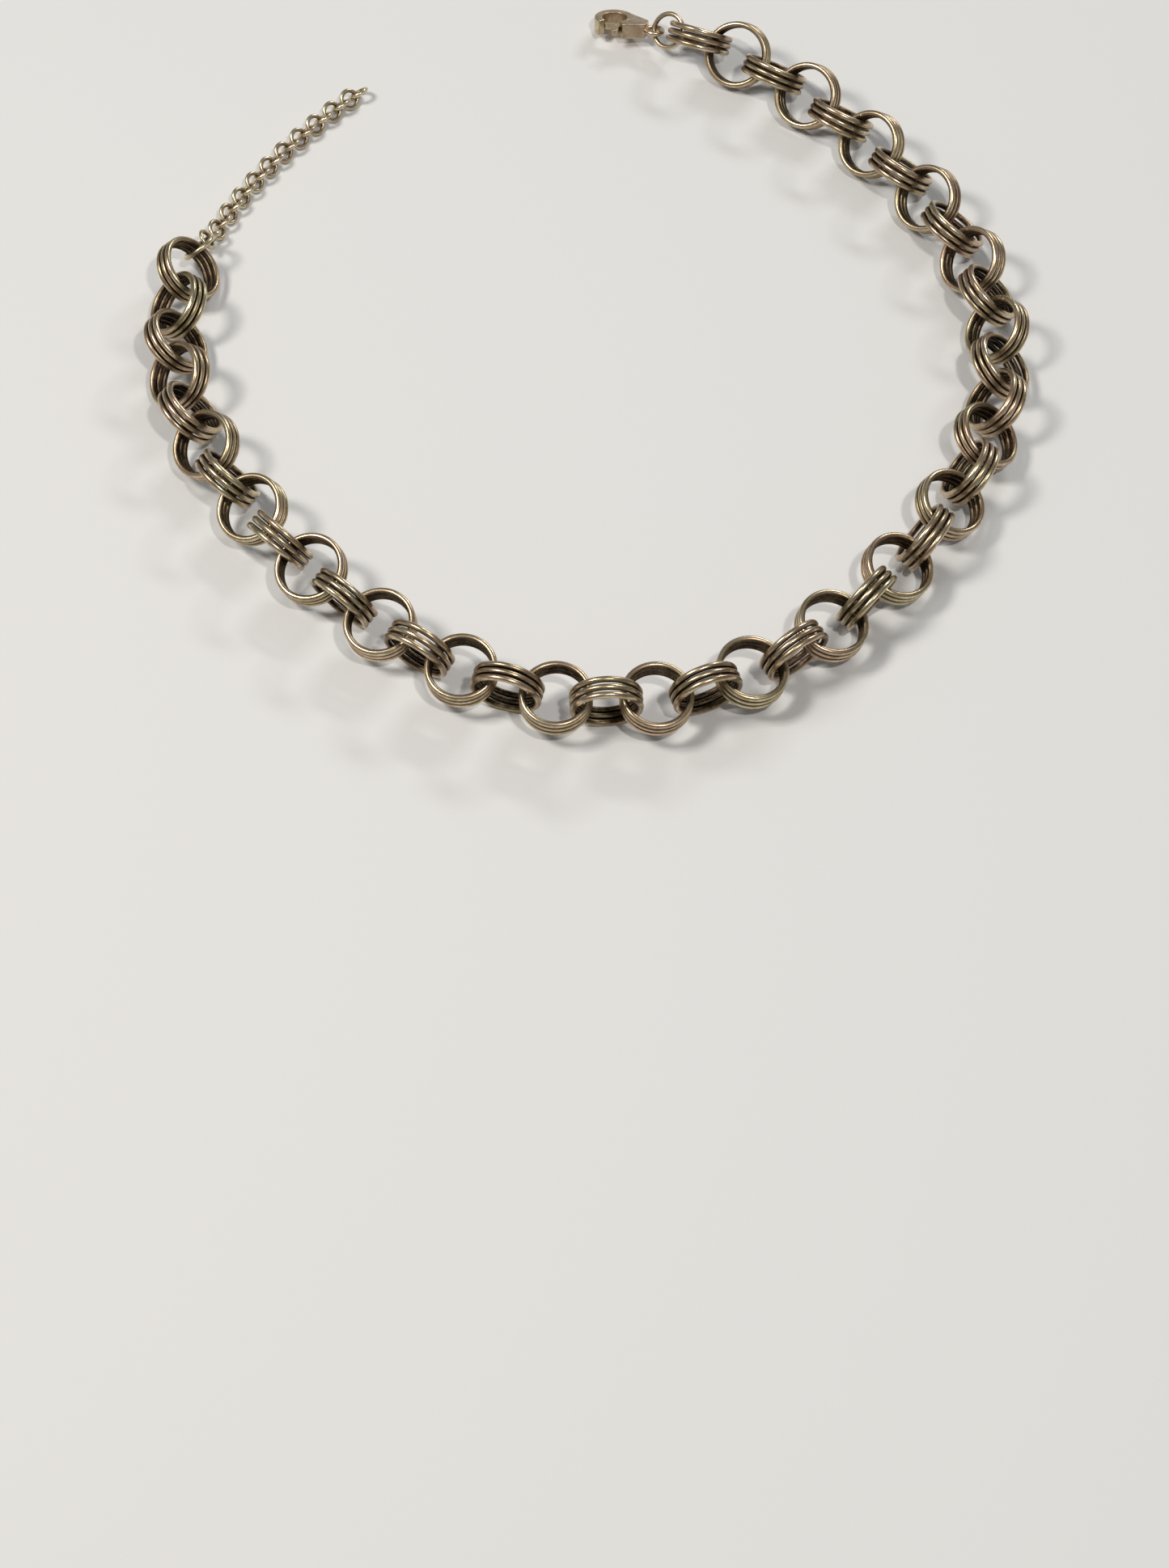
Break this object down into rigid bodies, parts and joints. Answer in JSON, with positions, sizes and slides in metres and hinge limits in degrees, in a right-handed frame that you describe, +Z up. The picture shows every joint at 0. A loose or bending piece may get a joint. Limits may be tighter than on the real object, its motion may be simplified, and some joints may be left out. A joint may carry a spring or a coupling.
{
  "type": "chain necklace",
  "caption": "Heavy antiqued cable chain necklace of triple-ring links, with a thin extender chain and a lobster clasp, laid open and flat",
  "frame": {"origin": "on the surface it lies on, at the middle of its box", "axes": "+Z up from the surface; -Y to the front of the neck, where the middle link lies; +X to the clasp's side"},
  "size_m": [0.1524, 0.1646, 0.0123],
  "materials": {
    "chain_links": "antiqued plating, grey-beige, worn bright on the outside and dark in the recesses",
    "extender_rings": "antiqued plating, lightly darkened",
    "jump_rings": "antiqued plating, lightly darkened",
    "clasp_casting": "cast and antiqued, polished on its edges",
    "clasp_steel": "plain drawn wire"
  },
  "bodies": {
    "link_17": {"link_17": "chain_links"},
    "link_01": {"link_01": "chain_links"},
    "link_02": {"link_02": "chain_links"},
    "link_03": {"link_03": "chain_links"},
    "link_04": {"link_04": "chain_links"},
    "link_05": {"link_05": "chain_links"},
    "link_06": {"link_06": "chain_links"},
    "link_07": {"link_07": "chain_links"},
    "link_08": {"link_08": "chain_links"},
    "link_09": {"link_09": "chain_links"},
    "link_10": {"link_10": "chain_links"},
    "link_11": {"link_11": "chain_links"},
    "link_12": {"link_12": "chain_links"},
    "link_13": {"link_13": "chain_links"},
    "link_14": {"link_14": "chain_links"},
    "link_15": {"link_15": "chain_links"},
    "link_16": {"link_16": "chain_links"},
    "link_18": {"link_18": "chain_links"},
    "link_19": {"link_19": "chain_links"},
    "link_20": {"link_20": "chain_links"},
    "link_21": {"link_21": "chain_links"},
    "link_22": {"link_22": "chain_links"},
    "link_23": {"link_23": "chain_links"},
    "link_24": {"link_24": "chain_links"},
    "link_25": {"link_25": "chain_links"},
    "link_26": {"link_26": "chain_links"},
    "link_27": {"link_27": "chain_links"},
    "link_28": {"link_28": "chain_links"},
    "link_29": {"link_29": "chain_links"},
    "link_30": {"link_30": "chain_links"},
    "link_31": {"link_31": "chain_links"},
    "link_32": {"link_32": "chain_links"},
    "link_33": {"link_33": "chain_links"},
    "link_34": {"link_34": "chain_links"},
    "link_35": {"link_35": "chain_links"},
    "link_36": {"link_36": "chain_links"},
    "link_37": {"link_37": "chain_links"},
    "link_38": {"link_38": "chain_links"},
    "link_39": {"link_39": "chain_links"},
    "link_40": {"link_40": "chain_links"},
    "link_41": {"link_41": "chain_links"},
    "link_42": {"link_42": "chain_links"},
    "extender_jump_ring": {"extender_jump_ring": "jump_rings"},
    "clasp_jump_ring": {"clasp_jump_ring": "jump_rings"},
    "extender_pair_01": {"extender_pair_01": "extender_rings"},
    "extender_pair_02": {"extender_pair_02": "extender_rings"},
    "extender_pair_03": {"extender_pair_03": "extender_rings"},
    "extender_pair_04": {"extender_pair_04": "extender_rings"},
    "extender_pair_05": {"extender_pair_05": "extender_rings"},
    "extender_pair_06": {"extender_pair_06": "extender_rings"},
    "extender_pair_07": {"extender_pair_07": "extender_rings"},
    "extender_pair_08": {"extender_pair_08": "extender_rings"},
    "extender_pair_09": {"extender_pair_09": "extender_rings"},
    "extender_pair_10": {"extender_pair_10": "extender_rings"},
    "extender_pair_11": {"extender_pair_11": "extender_rings"},
    "clasp": {"clasp_body": "clasp_casting", "clasp_pin": "clasp_steel", "clasp_spring": "clasp_steel"},
    "clasp_lever": {"clasp_lever": "clasp_casting"}
  },
  "joints": [
    {"name": "bend_link_18", "type": "hinge", "parent": "link_17", "child": "link_18", "pos_m": [0.00794, -0.0765, 0.00612], "axis": [0, 0, 1], "range_deg": [-18, 8]},
    {"name": "bend_link_19", "type": "hinge", "parent": "link_18", "child": "link_19", "pos_m": [0.01592, -0.07511, 0.00612], "axis": [0, 0, -1], "range_deg": [-8, 18]},
    {"name": "bend_link_20", "type": "hinge", "parent": "link_19", "child": "link_20", "pos_m": [0.02355, -0.07243, 0.00613], "axis": [0, 0, 1], "range_deg": [-18, 8]},
    {"name": "bend_link_21", "type": "hinge", "parent": "link_20", "child": "link_21", "pos_m": [0.03071, -0.06863, 0.00615], "axis": [0, 0, -1], "range_deg": [-8, 18]},
    {"name": "bend_link_22", "type": "hinge", "parent": "link_21", "child": "link_22", "pos_m": [0.03733, -0.06395, 0.00615], "axis": [0, 0, 1], "range_deg": [-18, 8]},
    {"name": "bend_link_23", "type": "hinge", "parent": "link_22", "child": "link_23", "pos_m": [0.0434, -0.05856, 0.00612], "axis": [0, 0, -1], "range_deg": [-8, 18]},
    {"name": "bend_link_24", "type": "hinge", "parent": "link_23", "child": "link_24", "pos_m": [0.04897, -0.05266, 0.00609], "axis": [0, 0, 1], "range_deg": [-18, 8]},
    {"name": "bend_link_25", "type": "hinge", "parent": "link_24", "child": "link_25", "pos_m": [0.05405, -0.04633, 0.00608], "axis": [0, 0, -1], "range_deg": [-8, 18]},
    {"name": "bend_link_26", "type": "hinge", "parent": "link_25", "child": "link_26", "pos_m": [0.05865, -0.03964, 0.00608], "axis": [0, 0, 1], "range_deg": [-18, 8]},
    {"name": "bend_link_27", "type": "hinge", "parent": "link_26", "child": "link_27", "pos_m": [0.0627, -0.03261, 0.00592], "axis": [0, 0, -1], "range_deg": [-8, 18]},
    {"name": "bend_link_28", "type": "hinge", "parent": "link_27", "child": "link_28", "pos_m": [0.0661, -0.02524, 0.00577], "axis": [0, 0, 1], "range_deg": [-18, 8]},
    {"name": "bend_link_29", "type": "hinge", "parent": "link_28", "child": "link_29", "pos_m": [0.06868, -0.01756, 0.00564], "axis": [0, 0, -1], "range_deg": [-8, 18]},
    {"name": "bend_link_30", "type": "hinge", "parent": "link_29", "child": "link_30", "pos_m": [0.07031, -0.00962, 0.0055], "axis": [0, 0, 1], "range_deg": [-18, 8]},
    {"name": "bend_link_31", "type": "hinge", "parent": "link_30", "child": "link_31", "pos_m": [0.07085, -0.00153, 0.00544], "axis": [0, 0, -1], "range_deg": [-8, 18]},
    {"name": "bend_link_32", "type": "hinge", "parent": "link_31", "child": "link_32", "pos_m": [0.07024, 0.00655, 0.0053], "axis": [0, 0, 1], "range_deg": [-18, 8]},
    {"name": "bend_link_33", "type": "hinge", "parent": "link_32", "child": "link_33", "pos_m": [0.06851, 0.01446, 0.00531], "axis": [0, 0, -1], "range_deg": [-8, 18]},
    {"name": "bend_link_34", "type": "hinge", "parent": "link_33", "child": "link_34", "pos_m": [0.06576, 0.02209, 0.00538], "axis": [0, 0, 1], "range_deg": [-18, 8]},
    {"name": "bend_link_35", "type": "hinge", "parent": "link_34", "child": "link_35", "pos_m": [0.06216, 0.02936, 0.00538], "axis": [0, 0, -1], "range_deg": [-8, 18]},
    {"name": "bend_link_36", "type": "hinge", "parent": "link_35", "child": "link_36", "pos_m": [0.05788, 0.03626, 0.00534], "axis": [0, 0, 1], "range_deg": [-18, 8]},
    {"name": "bend_link_37", "type": "hinge", "parent": "link_36", "child": "link_37", "pos_m": [0.05308, 0.0428, 0.00532], "axis": [0, 0, -1], "range_deg": [-8, 18]},
    {"name": "bend_link_38", "type": "hinge", "parent": "link_37", "child": "link_38", "pos_m": [0.04788, 0.04903, 0.00533], "axis": [0, 0, 1], "range_deg": [-18, 8]},
    {"name": "bend_link_39", "type": "hinge", "parent": "link_38", "child": "link_39", "pos_m": [0.04233, 0.05496, 0.00533], "axis": [0, 0, -1], "range_deg": [-8, 18]},
    {"name": "bend_link_40", "type": "hinge", "parent": "link_39", "child": "link_40", "pos_m": [0.03642, 0.06053, 0.00532], "axis": [0, 0, 1], "range_deg": [-18, 8]},
    {"name": "bend_link_41", "type": "hinge", "parent": "link_40", "child": "link_41", "pos_m": [0.03014, 0.06567, 0.00529], "axis": [0, 0, -1], "range_deg": [-8, 18]},
    {"name": "bend_link_42", "type": "hinge", "parent": "link_41", "child": "link_42", "pos_m": [0.02342, 0.07021, 0.00525], "axis": [0, 0, 1], "range_deg": [-18, 8]},
    {"name": "swing_clasp_jump_ring", "type": "hinge", "parent": "link_42", "child": "clasp_jump_ring", "pos_m": [0.0171, 0.0736, 0.0049], "axis": [0, 0, -1], "range_deg": [-4, 14]},
    {"name": "swing_clasp", "type": "hinge", "parent": "clasp_jump_ring", "child": "clasp", "pos_m": [0.01296, 0.07538, 0.00404], "axis": [0, 0, 1], "range_deg": [-16, 8]},
    {"name": "bend_link_16", "type": "hinge", "parent": "link_17", "child": "link_16", "pos_m": [-0.00015, -0.07651, 0.00612], "axis": [0, 0, -1], "range_deg": [-18, 8]},
    {"name": "bend_link_15", "type": "hinge", "parent": "link_16", "child": "link_15", "pos_m": [-0.00813, -0.07513, 0.00613], "axis": [0, 0, 1], "range_deg": [-8, 18]},
    {"name": "bend_link_14", "type": "hinge", "parent": "link_15", "child": "link_14", "pos_m": [-0.01579, -0.07251, 0.00613], "axis": [0, 0, -1], "range_deg": [-18, 8]},
    {"name": "bend_link_13", "type": "hinge", "parent": "link_14", "child": "link_13", "pos_m": [-0.02302, -0.06885, 0.00612], "axis": [0, 0, 1], "range_deg": [-8, 18]},
    {"name": "bend_link_12", "type": "hinge", "parent": "link_13", "child": "link_12", "pos_m": [-0.02977, -0.06436, 0.00612], "axis": [0, 0, -1], "range_deg": [-18, 8]},
    {"name": "bend_link_11", "type": "hinge", "parent": "link_12", "child": "link_11", "pos_m": [-0.03609, -0.05926, 0.00611], "axis": [0, 0, 1], "range_deg": [-8, 18]},
    {"name": "bend_link_10", "type": "hinge", "parent": "link_11", "child": "link_10", "pos_m": [-0.04201, -0.05371, 0.00611], "axis": [0, 0, -1], "range_deg": [-18, 8]},
    {"name": "bend_link_09", "type": "hinge", "parent": "link_10", "child": "link_09", "pos_m": [-0.04759, -0.04781, 0.00605], "axis": [0, 0, 1], "range_deg": [-8, 18]},
    {"name": "bend_link_08", "type": "hinge", "parent": "link_09", "child": "link_08", "pos_m": [-0.05282, -0.0416, 0.00598], "axis": [0, 0, -1], "range_deg": [-18, 8]},
    {"name": "bend_link_07", "type": "hinge", "parent": "link_08", "child": "link_07", "pos_m": [-0.05765, -0.03507, 0.00588], "axis": [0, 0, 1], "range_deg": [-8, 18]},
    {"name": "bend_link_06", "type": "hinge", "parent": "link_07", "child": "link_06", "pos_m": [-0.06197, -0.0282, 0.00578], "axis": [0, 0, -1], "range_deg": [-18, 8]},
    {"name": "bend_link_05", "type": "hinge", "parent": "link_06", "child": "link_05", "pos_m": [-0.06562, -0.02096, 0.00564], "axis": [0, 0, 1], "range_deg": [-8, 18]},
    {"name": "bend_link_04", "type": "hinge", "parent": "link_05", "child": "link_04", "pos_m": [-0.06843, -0.01335, 0.00549], "axis": [0, 0, -1], "range_deg": [-18, 8]},
    {"name": "bend_link_03", "type": "hinge", "parent": "link_04", "child": "link_03", "pos_m": [-0.07023, -0.00545, 0.00538], "axis": [0, 0, 1], "range_deg": [-8, 18]},
    {"name": "bend_link_02", "type": "hinge", "parent": "link_03", "child": "link_02", "pos_m": [-0.07092, 0.00262, 0.0053], "axis": [0, 0, -1], "range_deg": [-18, 8]},
    {"name": "bend_link_01", "type": "hinge", "parent": "link_02", "child": "link_01", "pos_m": [-0.07046, 0.01071, 0.00535], "axis": [0, 0, 1], "range_deg": [-8, 18]},
    {"name": "swing_extender_jump_ring", "type": "hinge", "parent": "link_01", "child": "extender_jump_ring", "pos_m": [-0.06919, 0.01777, 0.00502], "axis": [0, 0, -1], "range_deg": [-14, 4]},
    {"name": "bend_extender_pair_01", "type": "hinge", "parent": "extender_jump_ring", "child": "extender_pair_01", "pos_m": [-0.06792, 0.02236, 0.00397], "axis": [0, 0, 1], "range_deg": [-12, 12]},
    {"name": "bend_extender_pair_02", "type": "hinge", "parent": "extender_pair_01", "child": "extender_pair_02", "pos_m": [-0.06639, 0.02664, 0.00191], "axis": [0, 0, -1], "range_deg": [-14, 14]},
    {"name": "bend_extender_pair_03", "type": "hinge", "parent": "extender_pair_02", "child": "extender_pair_03", "pos_m": [-0.06467, 0.03062, 0.00157], "axis": [0, 0, 1], "range_deg": [-14, 14]},
    {"name": "bend_extender_pair_04", "type": "hinge", "parent": "extender_pair_03", "child": "extender_pair_04", "pos_m": [-0.06274, 0.03453, 0.00154], "axis": [0, 0, -1], "range_deg": [-14, 14]},
    {"name": "bend_extender_pair_05", "type": "hinge", "parent": "extender_pair_04", "child": "extender_pair_05", "pos_m": [-0.06062, 0.03834, 0.00153], "axis": [0, 0, 1], "range_deg": [-14, 14]},
    {"name": "bend_extender_pair_06", "type": "hinge", "parent": "extender_pair_05", "child": "extender_pair_06", "pos_m": [-0.05834, 0.04206, 0.00153], "axis": [0, 0, -1], "range_deg": [-14, 14]},
    {"name": "bend_extender_pair_07", "type": "hinge", "parent": "extender_pair_06", "child": "extender_pair_07", "pos_m": [-0.0559, 0.04567, 0.00153], "axis": [0, 0, 1], "range_deg": [-14, 14]},
    {"name": "bend_extender_pair_08", "type": "hinge", "parent": "extender_pair_07", "child": "extender_pair_08", "pos_m": [-0.05332, 0.04918, 0.00153], "axis": [0, 0, -1], "range_deg": [-14, 14]},
    {"name": "bend_extender_pair_09", "type": "hinge", "parent": "extender_pair_08", "child": "extender_pair_09", "pos_m": [-0.0506, 0.05259, 0.00153], "axis": [0, 0, 1], "range_deg": [-14, 14]},
    {"name": "bend_extender_pair_10", "type": "hinge", "parent": "extender_pair_09", "child": "extender_pair_10", "pos_m": [-0.04775, 0.05589, 0.00153], "axis": [0, 0, -1], "range_deg": [-14, 14]},
    {"name": "bend_extender_pair_11", "type": "hinge", "parent": "extender_pair_10", "child": "extender_pair_11", "pos_m": [-0.04476, 0.05906, 0.00153], "axis": [0, 0, 1], "range_deg": [-14, 14]},
    {"name": "clasp_lever_hinge", "type": "hinge", "parent": "clasp", "child": "clasp_lever", "pos_m": [0.00717, 0.07679, 0.00329], "axis": [-0.0272, -0.3862, -0.922], "range_deg": [0, 20], "stiffness_Nm_per_rad": 0.015, "springref_deg": -11.46, "deforming": ["clasp_spring"]}
  ]
}
